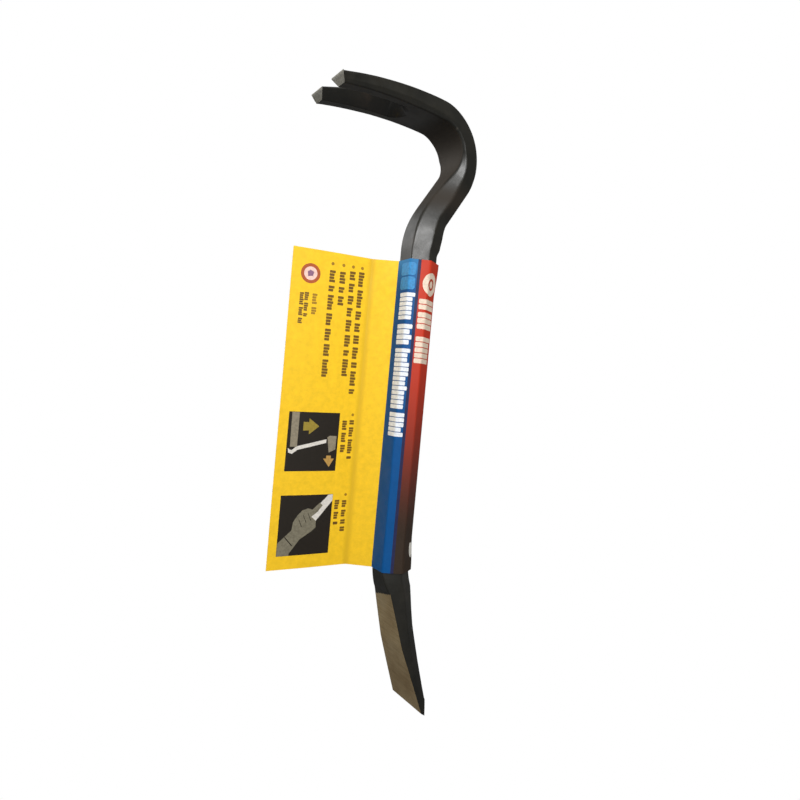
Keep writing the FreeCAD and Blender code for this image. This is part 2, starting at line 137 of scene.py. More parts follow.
def object_from(mesh_data, name, materials):
    """A shown object from a finished bmesh, smooth except over sharp edges."""
    bmesh.ops.recalc_face_normals(mesh_data, faces=mesh_data.faces)
    mesh = bpy.data.meshes.new(name)
    mesh_data.to_mesh(mesh)
    mesh_data.free()
    for face in mesh.polygons:
        face.use_smooth = True
    mesh.set_sharp_from_angle(angle=SHARP)
    for material in materials:
        mesh.materials.append(material)
    piece = bpy.data.objects.new(name, mesh)
    bpy.context.scene.collection.objects.link(piece)
    return piece


def steps(start, end, largest):
    """Even steps from start to end, both included."""
    count = max(1, math.ceil(abs(end - start) / largest - 1e-9))
    return [start + (end - start) * index / count for index in range(count + 1)]


def mixed(first, second, share):
    return tuple(a + (b - a) * share for a, b in zip(first, second))


def eased(share):
    """Smooth 0 to 1 step."""
    share = min(max(share, 0.0), 1.0)
    return share * share * (3 - 2 * share)


# -------- centrelines of the bar

HOOK_PATH = [
    # (length, turn towards +X over that length)
    (NECK_TURN * NECK_RADIUS, NECK_TURN),
    (NECK_STRAIGHT, 0.0),
    (HOOK_TURN * HOOK_RADIUS, -HOOK_TURN),
    (CLAW_LENGTH, -CLAW_LENGTH / CLAW_RADIUS),
]
CHISEL_PATH = [
    (CHISEL_ROOT_TURN * CHISEL_ROOT_RADIUS, -CHISEL_ROOT_TURN),
    (CHISEL_LENGTH, -CHISEL_LENGTH / CHISEL_RADIUS),
]
HOOK_LENGTH = sum(length for length, turn in HOOK_PATH)
CHISEL_TOTAL = sum(length for length, turn in CHISEL_PATH)


def walk(path, height, heading, distance):
    """(x, z) and heading from +Z towards +X, at a distance along a centreline."""
    x, z = 0.0, height
    for length, turn in path:
        step = min(distance, length)
        bend = turn * step / length
        chord = step if bend == 0 else step * math.sin(bend / 2) / (bend / 2)
        x += chord * math.sin(heading + bend / 2)
        z += chord * math.cos(heading + bend / 2)
        heading += bend
        distance -= step
        if distance <= 0:
            break
    return Vector((x, z)), heading


def hook_frame(distance):
    """Centre, tangent towards the tine ends and normal towards the claw side."""
    centre, heading = walk(HOOK_PATH, SHANK_TOP, 0.0, distance)
    tangent = Vector((math.sin(heading), math.cos(heading)))
    return centre, tangent, Vector((-tangent.y, tangent.x))


def chisel_frame(distance):
    """Centre, tangent towards the edge and normal towards the front (the claw side)."""
    centre, heading = walk(CHISEL_PATH, SHANK_BOTTOM, math.pi, distance)
    tangent = Vector((math.sin(heading), math.cos(heading)))
    return centre, tangent, Vector((tangent.y, -tangent.x))


def hook_section(distance):
    if distance <= NECK_HELD_TO:
        return mixed(STOCK, NECK, eased(min(distance / NECK_FULL_AT, 1.0)))
    if distance <= THROAT_AT:
        return mixed(NECK, THROAT, eased((distance - NECK_HELD_TO) / (THROAT_AT - NECK_HELD_TO)))
    if distance <= CLAW_ROOT_AT:
        past = distance - THROAT_AT
        flattened = eased(past / (CLAW_ROOT_AT - THROAT_AT))
        merged = min(past / (CORNER_MERGED_AT - THROAT_AT), 1.0) ** 2
        return mixed(THROAT, CLAW_ROOT, flattened)[:-1] + mixed(THROAT, CLAW_ROOT, merged)[-1:]
    fork = HOOK_LENGTH - FORK_REACH
    if distance <= fork:
        return mixed(CLAW_ROOT, FORK, (distance - CLAW_ROOT_AT) / (fork - CLAW_ROOT_AT))
    return mixed(FORK, CLAW_TIP, (distance - fork) / FORK_REACH)


def chisel_section(distance):
    root = CHISEL_PATH[0][0]
    if distance <= root:
        return mixed(STOCK, CHISEL_ROOT, distance / root)
    if distance <= CHISEL_WAIST_AT:
        return mixed(CHISEL_ROOT, CHISEL_WAIST, (distance - root) / (CHISEL_WAIST_AT - root))
    return mixed(CHISEL_WAIST, CHISEL_TIP, (distance - CHISEL_WAIST_AT) / (CHISEL_TOTAL - CHISEL_WAIST_AT))


# -------- rows of the bar's skin

FILLET_STEPS, FILLET_SHARE = 3, 0.42
SPAN_SHARES = (0.08, 0.36, 0.64, 0.92)


def side_levels(section):
    """(level, half width) of the claw side, the side corner and the back."""
    front, corner, back, thickness, lift, corner_drop = section
    high = thickness / 2 - lift
    return [(high, front / 2), (high - thickness * corner_drop, corner / 2), (high - thickness, back / 2)]


def width_at(levels, level):
    """Half width of a section at a level between its back and its claw side."""
    for (upper, upper_half), (lower, lower_half) in zip(levels, levels[1:]):
        if level >= lower or lower == levels[-1][0]:
            share = (upper - level) / (upper - lower)
            return upper_half + (lower_half - upper_half) * min(max(share, 0.0), 1.0)
    return levels[-1][1]


def reach_to_line(point, direction, on_line, line_direction):
    """How far from a point, along a direction, a line is crossed."""
    turned = direction.x * line_direction.y - direction.y * line_direction.x
    offset = on_line - point
    return (offset.x * line_direction.y - offset.y * line_direction.x) / turned


def fillet(before, corner, after, radius):
    """Points round a corner; the corner itself, repeated, when it is left sharp."""
    to_before, to_after = before - corner, after - corner
    room = FILLET_SHARE * min(to_before.length, to_after.length)
    if radius <= 0 or room < 1e-6:
        return [corner] * (FILLET_STEPS + 1)
    half_angle = to_before.angle(to_after) / 2
    reach = min(radius / math.tan(half_angle), room)
    start, end = corner + to_before.normalized() * reach, corner + to_after.normalized() * reach
    points = []
    for index in range(FILLET_STEPS + 1):
        share = index / FILLET_STEPS
        points.append(start * (1 - share) ** 2 + corner * (2 * share * (1 - share)) + end * share ** 2)
    return points


def half_outline(levels, upper, lower, wall, radii):
    """(across, level) points from the middle of the claw side round to the middle of the back.

    wall is the slot's rim on the claw side, the foot of its flare and its rim on the back;
    the last points run back up that wall.
    """
    middle = min(max(levels[1][0], lower), upper)
    corners = [
        wall[0],
        Vector((width_at(levels, upper), upper)),
        Vector((width_at(levels, middle), middle)),
        Vector((width_at(levels, lower), lower)),
        wall[2],
        wall[1],
    ]
    points = []
    for index, (corner, radius) in enumerate(zip(corners, radii)):
        before, after = corners[index - 1], corners[(index + 1) % len(corners)]
        bend = fillet(before, corner, after, radius)
        if index:
            points += [points[-1].lerp(bend[0], share) for share in SPAN_SHARES]
        points += bend
    points += [points[-1].lerp(points[0], share) for share in SPAN_SHARES]
    return points


def no_wall(upper, lower):
    """The wall's corners where there is no slot."""
    return Vector((0.0, upper)), Vector((0.0, upper)), Vector((0.0, lower))


# which surface each strip between two neighbouring outline points belongs to
SPAN = len(SPAN_SHARES) + 1
ZONES = (
    ["front"] * (FILLET_STEPS + SPAN + 1)
    + ["side"] * (FILLET_STEPS - 1 + SPAN + FILLET_STEPS + SPAN + FILLET_STEPS - 1)
    + ["back"] * (1 + SPAN + FILLET_STEPS)
    + ["wall"] * (SPAN + FILLET_STEPS)
    + ["flare"] * SPAN
)


# one section: its half outline, whether the slot cuts it, and which of its faces are ground
Row = namedtuple("Row", "centre normal outline slotted ground_front ground_back")


def points_of(row, side):
    """Points in the bar's frame for one half of a section."""
    points = []
    for across, level in row.outline:
        place = row.centre + row.normal * level
        points.append((place.x, side * across, place.y))
    return points


def slot_half_width(from_tip, widened=0.0):
    """Half width of the nail slot at a distance from the tine ends, widened all round by its flare."""
    radius = SLOT_END_RADIUS + widened
    straight = SLOT_DEPTH - SLOT_END_RADIUS
    if from_tip <= straight:
        half_mouth = SLOT_MOUTH / 2
        return widened + half_mouth + (SLOT_END_RADIUS - half_mouth) * from_tip / straight
    past = min(from_tip - straight, radius)
    return math.sqrt(radius ** 2 - past ** 2)


def slot_wall(from_tip, upper, lower):
    """The slot's rim on the claw side, the foot of its flare, and its rim on the back."""
    land = lower + SLOT_LAND
    rim = slot_half_width(from_tip, max(upper - land, 0.0) * SLOT_FLARE)
    foot = min(land + max(from_tip - SLOT_DEPTH, 0.0) / SLOT_FLARE, upper)
    narrow = slot_half_width(from_tip)
    return Vector((rim, upper)), Vector((narrow, foot)), Vector((narrow, lower))


def chisel_row(distance):
    """One section of the chisel with its ground front and edge bevels."""
    centre, tangent, normal = chisel_frame(distance)
    levels = side_levels(chisel_section(distance))
    upper, lower = levels[0][0], levels[-1][0]
    heel = Vector((math.sin(HEEL_SLOPE), -math.cos(HEEL_SLOPE)))
    lead = Vector((math.sin(LEAD_SLOPE), -math.cos(LEAD_SLOPE)))
    heel_level = reach_to_line(centre, normal, HEEL_TOP, heel)
    front_ground = (centre - HEEL_TOP + normal * heel_level).dot(heel) > 0
    if front_ground:
        lead_level = reach_to_line(centre, normal, HEEL_TOP + heel * HEEL_LENGTH, lead)
        upper = min(upper, heel_level, lead_level)
    end, end_tangent, end_normal = chisel_frame(CHISEL_TOTAL)
    edge = end - end_normal * EDGE_LIFT
    back_run = -end_tangent * math.cos(BACK_BEVEL) - end_normal * math.sin(BACK_BEVEL)
    front_run = -end_tangent * math.cos(FRONT_BEVEL) + end_normal * math.sin(FRONT_BEVEL)
    back_level = reach_to_line(centre, normal, edge, back_run)
    upper = min(upper, reach_to_line(centre, normal, edge, front_run))
    back_ground = back_level > lower
    lower = min(max(lower, back_level), upper - THINNEST)
    front_radius = GROUND_ROUNDING if front_ground else FORGED_ROUNDING
    back_radius = GROUND_ROUNDING if back_ground else FORGED_ROUNDING
    radii = (0.0, front_radius, FORGED_ROUNDING, back_radius, 0.0, 0.0)
    outline = half_outline(levels, upper, lower, no_wall(upper, lower), radii)
    return Row(centre, normal, outline, False, front_ground, back_ground)


def hook_row(distance):
    """One section of the shank's top, the gooseneck or the claw."""
    centre, tangent, normal = hook_frame(distance)
    levels = side_levels(hook_section(distance))
    upper, lower = levels[0][0], levels[-1][0]
    end, end_tangent, end_normal = hook_frame(HOOK_LENGTH)
    half = CLAW_TIP[3] / 2
    edge = end - end_normal * half
    heel = end + end_normal * half - end_tangent * TINE_GRIND
    ground_level = reach_to_line(centre, normal, edge, (heel - edge).normalized())
    ground = distance > HOOK_LENGTH - 2 * TINE_GRIND and ground_level < upper
    if ground:
        upper = max(ground_level, lower + THINNEST)
    from_tip = HOOK_LENGTH - distance
    wall = slot_wall(from_tip, upper, lower)
    in_hook = eased(distance / NECK_STRAIGHT) * (1 - eased((distance - CLAW_ROOT_AT) / HOOK_RADIUS))
    soft = FORGED_ROUNDING + (HOOK_ROUNDING - FORGED_ROUNDING) * in_hook
    upper_rim, lower_rim = (SLOT_ROUNDING * min(1.0, rim.x / SLOT_END_RADIUS) for rim in (wall[0], wall[2]))
    radii = (upper_rim, GROUND_ROUNDING if ground else soft, soft, soft, lower_rim, 0.0)
    outline = half_outline(levels, upper, lower, wall, radii)
    return Row(centre, normal, outline, from_tip <= SLOT_DEPTH + 1e-6, ground, False)


def shank_row(height):
    upper, lower = ACROSS_FLATS / 2, -ACROSS_FLATS / 2
    radii = (0.0, FORGED_ROUNDING, FORGED_ROUNDING, FORGED_ROUNDING, 0.0, 0.0)
    outline = half_outline(side_levels(STOCK), upper, lower, no_wall(upper, lower), radii)
    return Row(Vector((0.0, height)), Vector((-1.0, 0.0)), outline, False, False, False)


# spacing of the sections along the bar, and the stretches where they come closer together
SHANK_STEP, GRIND_STEP, FORGED_STEP = 3.0, 1.2, 0.9
EDGE_STEP, FLARE_STEP, HEEL_STEP, CUT_STEP, SEARCH_STEP = 0.5, 0.4, 0.35, 0.2, 0.05
EDGE_STRETCH, HEEL_STRETCH, FLARE_RUNOUT = 12.0, 8.0, 8.0
EDGE_BLUNT, TINE_BLUNT, GRIND_GAP = 0.15, 0.12, 0.06


def bar_rows():
    """All sections from the chisel's edge to the tine ends."""
    heel_top_at = next(d for d in steps(0, CHISEL_TOTAL, SEARCH_STEP) if chisel_row(d).ground_front)
    heel_end, edge_start = heel_top_at + HEEL_STRETCH, CHISEL_TOTAL - EDGE_STRETCH
    chisel = (steps(CHISEL_TOTAL - EDGE_BLUNT, edge_start, EDGE_STEP)[:-1]
              + steps(edge_start, heel_end, GRIND_STEP)[:-1]
              + steps(heel_end, heel_top_at, HEEL_STEP)
              + steps(heel_top_at - GRIND_GAP, 0.0, FORGED_STEP))
    shank = steps(SHANK_BOTTOM, SHANK_TOP, SHANK_STEP)[1:-1]
    slot_start, grind_start = HOOK_LENGTH - SLOT_DEPTH, HOOK_LENGTH - TINE_GRIND
    hook = (steps(0.0, slot_start - FLARE_RUNOUT, FORGED_STEP)[:-1]
            + steps(slot_start - FLARE_RUNOUT, slot_start, FLARE_STEP)[:-1]
            + steps(slot_start, slot_start + SLOT_END_RADIUS, CUT_STEP)[:-1]
            + steps(slot_start + SLOT_END_RADIUS, grind_start, FORGED_STEP)[:-1]
            + steps(grind_start, HOOK_LENGTH - TINE_BLUNT, CUT_STEP))
    return ([chisel_row(distance) for distance in chisel]
            + [shank_row(height) for height in shank]
            + [hook_row(distance) for distance in hook])


# -------- the forging

LACQUER, STEEL = 0, 1
# (waves per metre, height in millimetres) of the dents of hammering and of the waves of grinding
DENTS = ((95.0, 0.06), (320.0, 0.022))
DENT_PLACE = Vector((7.0, 3.0, 1.0))
GRIND_WAVES, GRIND_HEIGHT = 160.0, 0.02

# the lacquer's lower edge on the chisel: how far below the heel's top, at which side, slant and rags
LACQUER_BELOW, LACQUER_SIDE, LACQUER_SLANT = 0.9, 6.5, 0.34
RAG_HEIGHT, RAGS_PER_MM = 0.5, 0.9


def forged_wobble(place, ground):
    """How far a point of the skin stands proud or low, from hammering or from grinding."""
    if ground:
        return GRIND_HEIGHT * noise.noise(place * GRIND_WAVES)
    return sum(height * noise.noise(place * scale + DENT_PLACE) for scale, height in DENTS)


def below_lacquer(point):
    """Whether the grinding has taken the lacquer off here; it runs out lower on the far side."""
    x, across, z = point
    ragged = RAG_HEIGHT * noise.noise(Vector((0.0, across * RAGS_PER_MM, 2.0)))
    return z < HEEL_TOP.y - LACQUER_BELOW - LACQUER_SLANT * (across + LACQUER_SIDE) + ragged


def is_ground(zone, row, ahead, point):
    """Whether the skin between two sections is ground bare in a zone, at a point of the first."""
    if zone == "back":
        return row.ground_back and ahead.ground_back
    bare = zone == "front" and row.ground_front and ahead.ground_front
    return bare and (row.centre.y > 0 or below_lacquer(point))


def make_bar(lacquer, steel):
    skin = bmesh.new()
    known = {}

    def place_vertex(point):
        """The vertex at a point, shared by every face that meets there."""
        key = tuple(round(value * 2000) for value in point)
        if key not in known:
            known[key] = skin.verts.new(metres(point))
        return known[key]

    def add_face(points, material):
        corners = []
        for point in points:
            vertex = place_vertex(point)
            if vertex not in corners:
                corners.append(vertex)
        if len(corners) < 3 or skin.faces.get(corners):
            return
        skin.faces.new(corners).material_index = material

    rows = bar_rows()
    for side in (1, -1):
        placed = [points_of(row, side) for row in rows]
        for (row, points), (ahead, points_ahead) in zip(zip(rows, placed), zip(rows[1:], placed[1:])):
            for index, zone in enumerate(ZONES):
                if zone == "wall" and not (row.slotted and ahead.slotted):
                    continue
                following = (index + 1) % len(ZONES)
                ground = is_ground(zone, row, ahead, points[index])
                add_face([points[index], points[following], points_ahead[following], points_ahead[index]],
                         STEEL if ground else LACQUER)
        add_face(placed[-1], STEEL)
    add_face(points_of(rows[0], 1) + points_of(rows[0], -1)[::-1], STEEL)

    bmesh.ops.triangulate(skin, faces=[face for face in skin.faces if len(face.verts) > 4])
    bmesh.ops.recalc_face_normals(skin, faces=skin.faces)
    skin.normal_update()
    moves = []
    for vertex in skin.verts:
        ground = any(face.material_index == STEEL for face in vertex.link_faces)
        moves.append(vertex.normal * (forged_wobble(vertex.co, ground) * MM))
    for vertex, move in zip(skin.verts, moves):
        vertex.co += move
    piece = object_from(skin, "bar_forging", [lacquer, steel])
    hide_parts("forged_bar")
    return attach(piece, "bar")


# -------- the card's line

def panel_direction(angle):
    return Vector((-math.cos(angle), math.sin(angle)))


def on_the_right(direction):
    """The printed side's normal, for a line that runs in this direction."""
    return Vector((direction.y, -direction.x))


def sleeve_corners():
    """Outer corners of the sleeve, from the root of the flap round the shank."""
    radius = SLEEVE_ACROSS / math.sqrt(3)
    angles = [math.radians(150 + 60 * index) for index in range(6)]
    return [Vector((radius * math.cos(angle), radius * math.sin(angle))) for angle in angles]


ROOT = sleeve_corners()[0]
OUTWARD = panel_direction(INNER_ANGLE)
BEHIND = on_the_right(OUTWARD)
CREASE = ROOT + OUTWARD * INNER_PANEL
CREASE_RADIUS, ROOT_RADIUS, WRAP_RADIUS, TAB_RADIUS = 3.0, 0.35, 1.6, 0.3
ARC_STEP = math.radians(13.0)
FLAT_STEP = 2.0


def card_corners():
    """The printed side's line: outer edge, crease, root, round the shank, and out along the tab."""
    wrap = sleeve_corners()
    tab_line = ROOT + BEHIND * (2 * CARD + TAB_GAP)
    last_side = wrap[0] - wrap[-1]
    tab_root = wrap[-1] + last_side * reach_to_line(wrap[-1], last_side, tab_line, OUTWARD)
    tab_end = tab_line + OUTWARD * (TAB_LENGTH + TAB_SPARE)
    outer_edge = CREASE + panel_direction(OUTER_ANGLE) * OUTER_PANEL
    corners = [outer_edge, CREASE] + wrap + [tab_root, tab_end]
    radii = [0.0, CREASE_RADIUS, ROOT_RADIUS] + [WRAP_RADIUS] * 5 + [TAB_RADIUS, 0.0]
    return corners, radii


def card_line():
    """Samples (travelled, point, printed-side normal) and the travelled length at each corner."""
    corners, radii = card_corners()
    samples, marks = [], []
    travelled = 0.0
    here = corners[0]
    for index in range(1, len(corners)):
        direction = (corners[index] - corners[index - 1]).normalized()
        last = index == len(corners) - 1
        reach = 0.0
        if not last:
            following = (corners[index + 1] - corners[index]).normalized()
            across = direction.x * following.y - direction.y * following.x
            bend = math.atan2(across, direction.dot(following))
            reach = radii[index] * math.tan(abs(bend) / 2)
        length = (corners[index] - here).length - reach
        for step in steps(0.0, length, FLAT_STEP)[:None if last else -1]:
            samples.append((travelled + step, here + direction * step, on_the_right(direction)))
        travelled += length
        here = here + direction * length
        if last:
            marks.append(travelled)
            break
        arc = abs(bend) * radii[index]
        marks.append(travelled + arc / 2)
        centre = here - on_the_right(direction) * radii[index] * math.copysign(1, bend)
        for turned in steps(0.0, bend, ARC_STEP)[:-1]:
            turn = complex(math.cos(turned), math.sin(turned))
            arm = complex(*(here - centre)) * turn
            normal = complex(*on_the_right(direction)) * turn
            samples.append((travelled + abs(turned) * radii[index], centre + Vector((arm.real, arm.imag)),
                            Vector((normal.real, normal.imag))))
        travelled += arc
        here = corners[index] + following * reach
    return samples, marks


LINE, MARKS = card_line()
CREASE_AT, ROOT_AT = MARKS[0], MARKS[1]
WRAP_END_AT, CARD_END = MARKS[-2], MARKS[-1]
SPLIT_AT = (CREASE_AT + ROOT_AT) / 2

# colours of the printed side, as lengths past the root
BLUE_END, NAVY_END, RED_END = 16.6, 18.5, 55.0

# how far the outer panel droops, bows (flatter near its ends) and ripples
OUTER_EDGE_DROP = 1.4
BOW, BOW_SPREAD, BOW_STARTS = 0.9, 1.1, 2.0
RIPPLE, RIPPLE_LENGTH, RIPPLE_PLACE = 0.25, 21.0, 0.6
# how far the sleeve's ends gape off the bar, and over what length
GAPE, GAPE_REACH = 1.2, 22.0


def line_at(travelled):
    """Point and normal of the printed line at a travelled length."""
    for before, after in zip(LINE, LINE[1:]):
        if travelled <= after[0]:
            share = (travelled - before[0]) / (after[0] - before[0])
            return before[1].lerp(after[1], share), before[2].lerp(after[2], share).normalized()
    return LINE[-1][1], LINE[-1][2]


def on_card(travelled, height, behind=0.0):
    """A point of the card in millimetres, a distance behind its printed side."""
    point, normal = line_at(travelled)
    share = max(CREASE_AT - BOW_STARTS - travelled, 0.0) / OUTER_PANEL
    swell = BOW * math.sin(math.pi * min(share, 1.0)) * math.cos(height / LABEL_HALF * BOW_SPREAD)
    ripple = RIPPLE * share * math.sin(height / RIPPLE_LENGTH + RIPPLE_PLACE)
    round_bar = min(max((travelled - ROOT_AT) / (WRAP_END_AT - ROOT_AT), 0.0), 1.0)
    near_end = eased(1 - (LABEL_HALF - abs(height)) / GAPE_REACH)
    gape = GAPE * math.sin(math.pi * round_bar) ** 2 * near_end
    point = point + normal * (swell + ripple + gape - behind)
    return Vector((point.x, point.y, height - OUTER_EDGE_DROP * share))


def card_columns(places):
    """Places along the card in order, each kept once."""
    columns = sorted(places)
    return [value for value, following in zip(columns, columns[1:] + [math.inf]) if following - value > CLOSE]


# each card vertex carries its place on the flat card: past the root, height and depth, in metres
CARD_PLACE = "card_place"
CARD_ROW_STEP, CLOSE = 2.5, 1e-4
CARD_ROWS = steps(-LABEL_HALF, LABEL_HALF, CARD_ROW_STEP)
COLOUR_EDGES = [ROOT_AT + value for value in (0.0, BLUE_END, NAVY_END, RED_END)]
COLUMNS = card_columns([sample[0] for sample in LINE] + COLOUR_EDGES + [SPLIT_AT, CARD_END])
YELLOW, BLUE, NAVY, RED, PLAIN, RAW = range(6)


def printed_colour(travelled):
    for edge, colour in zip(COLOUR_EDGES, (YELLOW, BLUE, NAVY, RED)):
        if travelled < edge:
            return colour
    return PLAIN


def make_sheet(name, start, end, materials):
    """One length of the card: printed side, plain back and cut edges."""
    sheet = bmesh.new()
    place_on_card = sheet.verts.layers.float_vector.new(CARD_PLACE)
    columns = [value for value in COLUMNS if start - CLOSE <= value <= end + CLOSE]

    def new_vertex(travelled, height, behind):
        vertex = sheet.verts.new(metres(on_card(travelled, height, behind)))
        vertex[place_on_card] = metres((travelled - ROOT_AT, height, behind))
        return vertex

    front = [[new_vertex(u, z, 0.0) for z in CARD_ROWS] for u in columns]
    back = [[new_vertex(u, z, CARD) for z in CARD_ROWS] for u in columns]

    def add(corners, material):
        sheet.faces.new(corners).material_index = material

    for i in range(len(columns) - 1):
        colour = printed_colour((columns[i] + columns[i + 1]) / 2)
        for j in range(len(CARD_ROWS) - 1):
            add([front[i][j], front[i + 1][j], front[i + 1][j + 1], front[i][j + 1]], colour)
            add([back[i][j], back[i][j + 1], back[i + 1][j + 1], back[i + 1][j]], PLAIN)
        for j in (0, -1):
            add([front[i][j], back[i][j], back[i + 1][j], front[i + 1][j]], RAW)
    for i in (0, -1):
        for j in range(len(CARD_ROWS) - 1):
            add([front[i][j], front[i][j + 1], back[i][j + 1], back[i][j]], RAW)
    return object_from(sheet, name, materials)


# how far along a panel a fold still bends the card; make_card only places points at these reaches and does
# not use them
CREASE_BEND, ROOT_BEND = 1.6, 1.8


def plan_point(point):
    """A point of the label's plan as a place in the frame, in metres."""
    return metres((point.x, point.y, 0.0))


def make_card(materials):
    """The whole card as two sheets, which meet in the inner panel and bend at the folds."""
    flap = make_sheet("card_flap_sheet", 0.0, SPLIT_AT, materials)
    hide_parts("card_inner_panel", "card_outer_panel")
    plan_point(CREASE - OUTWARD * CREASE_BEND)
    plan_point(CREASE + panel_direction(OUTER_ANGLE) * CREASE_BEND)
    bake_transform(flap)

    wrap = make_sheet("card_wrap_sheet", SPLIT_AT, CARD_END, materials)
    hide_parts("card_sleeve", "card_glue_tab")
    plan_point(ROOT)
    plan_point(ROOT + OUTWARD * ROOT_BEND)
    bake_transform(wrap)


# the glue's distance from the label's ends and from the root, and what is squeezed past the tab
GLUE_END_GAP, GLUE_ROOT_GAP, GLUE_STEP = 3.0, 3.0, 1.5
SQUEEZED_OUT, SQUEEZED_THICK, SQUEEZED_ROUND, SQUEEZED_BACK = 0.7, 0.25, 0.25, 0.6
WANDER_NEAR, WANDER_FAR, WANDER_THICK = 0.6, 0.5, 0.12
NEAR_WAVES, FAR_WAVES = 0.11, 0.17


def make_glue(material):
    """Dried glue between the inner panel and the tab, squeezed out a little along the tab's edge."""
    bead = bmesh.new()
    rings = []
    for height in steps(GLUE_END_GAP - LABEL_HALF, LABEL_HALF - GLUE_END_GAP, GLUE_STEP):
        wander = noise.noise(Vector((height * NEAR_WAVES, 0.0, 4.0)))
        near = GLUE_ROOT_GAP + WANDER_NEAR * wander
        far = TAB_LENGTH + SQUEEZED_OUT + WANDER_FAR * noise.noise(Vector((height * FAR_WAVES, 2.0, 0.0)))
        thick = TAB_GAP + SQUEEZED_THICK + WANDER_THICK * wander
        section = [(near, 0.0), (far, 0.0), (far + SQUEEZED_ROUND, thick / 2), (far, thick),
                   (far - SQUEEZED_BACK, TAB_GAP), (near, TAB_GAP)]
        ring = []
        for along, depth in section:
            point = ROOT + OUTWARD * along + BEHIND * (CARD + depth)
            ring.append(bead.verts.new(metres((point.x, point.y, height))))
        rings.append(ring)
    for ring, above in zip(rings, rings[1:]):
        for index in range(len(ring)):
            following = (index + 1) % len(ring)
            bead.faces.new([ring[index], ring[following], above[following], above[index]])
    bead.faces.new(rings[0])
    bead.faces.new(rings[-1])
    piece = object_from(bead, "glue_bead", [material])
    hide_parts("adhesive_strip")
    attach(piece, "inner_flap")


# -------- print on the card

INK_LIFT, INK_SINK = 0.03, 0.05
OVER_INK, GLOVE_INK, TOP_INK = INK_LIFT * 1.6, INK_LIFT * 2.2, INK_LIFT * 2.8
CUT_CLEAR, NIPPED_SHARE = 0.02, 0.3
ROUND, SMALL_ROUND, COARSE_ROUND = 40, 24, 16


def add_ink(inked, outline, lift):
    """Lay an outline of (travelled, height) points on the card as a thin closed film."""
    flat = bmesh.new()
    flat.faces.new([flat.verts.new((u, z, 0.0)) for u, z in outline])
    low_u, high_u = min(u for u, z in outline), max(u for u, z in outline)
    low_z, high_z = min(z for u, z in outline), max(z for u, z in outline)
    cuts = [((u, 0, 0), (1, 0, 0)) for u in COLUMNS if low_u + CUT_CLEAR < u < high_u - CUT_CLEAR]
    cuts += [((0, z, 0), (0, 1, 0)) for z in CARD_ROWS if low_z + CUT_CLEAR < z < high_z - CUT_CLEAR]
    for place, direction in cuts:
        everything = list(flat.verts) + list(flat.edges) + list(flat.faces)
        bmesh.ops.bisect_plane(flat, geom=everything, dist=1e-6, plane_co=place, plane_no=direction)
    top = {v: inked.verts.new(metres(on_card(v.co.x, v.co.y, -lift))) for v in flat.verts}
    under = {v: inked.verts.new(metres(on_card(v.co.x, v.co.y, INK_SINK))) for v in flat.verts}
    for face in flat.faces:
        inked.faces.new([top[v] for v in face.verts])
        inked.faces.new([under[v] for v in reversed(face.verts)])
    for edge in flat.edges:
        if edge.is_boundary:
            a, b = edge.verts
            inked.faces.new([top[a], top[b], under[b], under[a]])
    flat.free()


def rectangle(u, z, width, height):
    """Outline of a rectangle round a middle, its corners nipped off."""
    w, h = width / 2, height / 2
    nip = min(w, h) * NIPPED_SHARE
    return [(u - w + nip, z - h), (u + w - nip, z - h), (u + w, z - h + nip), (u + w, z + h - nip),
            (u + w - nip, z + h), (u - w + nip, z + h), (u - w, z + h - nip), (u - w, z - h + nip)]


def disc(u, z, radius, count=ROUND):
    angles = [2 * math.pi * index / count for index in range(count)]
    return [(u + radius * math.cos(angle), z + radius * math.sin(angle)) for angle in angles]


def ring_segments(u, z, inner, outer, count=ROUND):
    """A ring as a run of four-sided pieces."""
    for index in range(count):
        first, second = 2 * math.pi * index / count, 2 * math.pi * (index + 1) / count
        yield [(u + radius * math.cos(angle), z + radius * math.sin(angle))
               for radius, angle in ((inner, first), (outer, first), (outer, second), (inner, second))]


def ink_piece(name, outlines, material, lift, body):
    inked = bmesh.new()
    for outline in outlines:
        add_ink(inked, outline, lift)
    piece = object_from(inked, name, [material])
    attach(piece, body)


def sleeve_ink(name, outlines, material, lift=INK_LIFT):
    ink_piece(name, outlines, material, lift, "sleeve")


def flap_ink(name, outlines, material, lift=INK_LIFT):
    ink_piece(name, outlines, material, lift, "outer_flap")


def flap_u(past_crease):
    """Travelled length of a place on the outer panel."""
    return CREASE_AT - past_crease


def sleeve_u(past_root):
    return ROOT_AT + past_root


# of a line of stand-in blocks: height of the low ones, how many are tall, how much of the pitch is ink
X_HEIGHT, TALL_SHARE, INKED_SHARE = 0.82, 0.35, 0.84
WORD_LENGTHS = (2, 3, 4, 4, 5, 6)


def blank_words(chance, middle, top, bottom, height, advance, low=X_HEIGHT):
    """Stand-in blocks for one word of print that runs down the card from top to bottom.

    middle is the line's middle across the card.
    """
    count = max(1, round((top - bottom) / advance))
    pitch = (top - bottom) / count
    for index in range(count):
        rise = height * (1.0 if index == 0 or chance.random() < TALL_SHARE else low)
        yield rectangle(middle - (height - rise) / 2, top - pitch * (index + 0.5), rise, pitch * INKED_SHARE)


def blank_line(chance, middle, top, bottom, height, advance):
    """A line of stand-in words of random lengths from top to bottom."""
    while top - bottom > advance:
        count = chance.choice(WORD_LENGTHS)
        end = top - count * advance
        if end - bottom < 2 * advance:
            end = bottom
        yield from blank_words(chance, middle, top, end, height, advance)
        top = end - advance


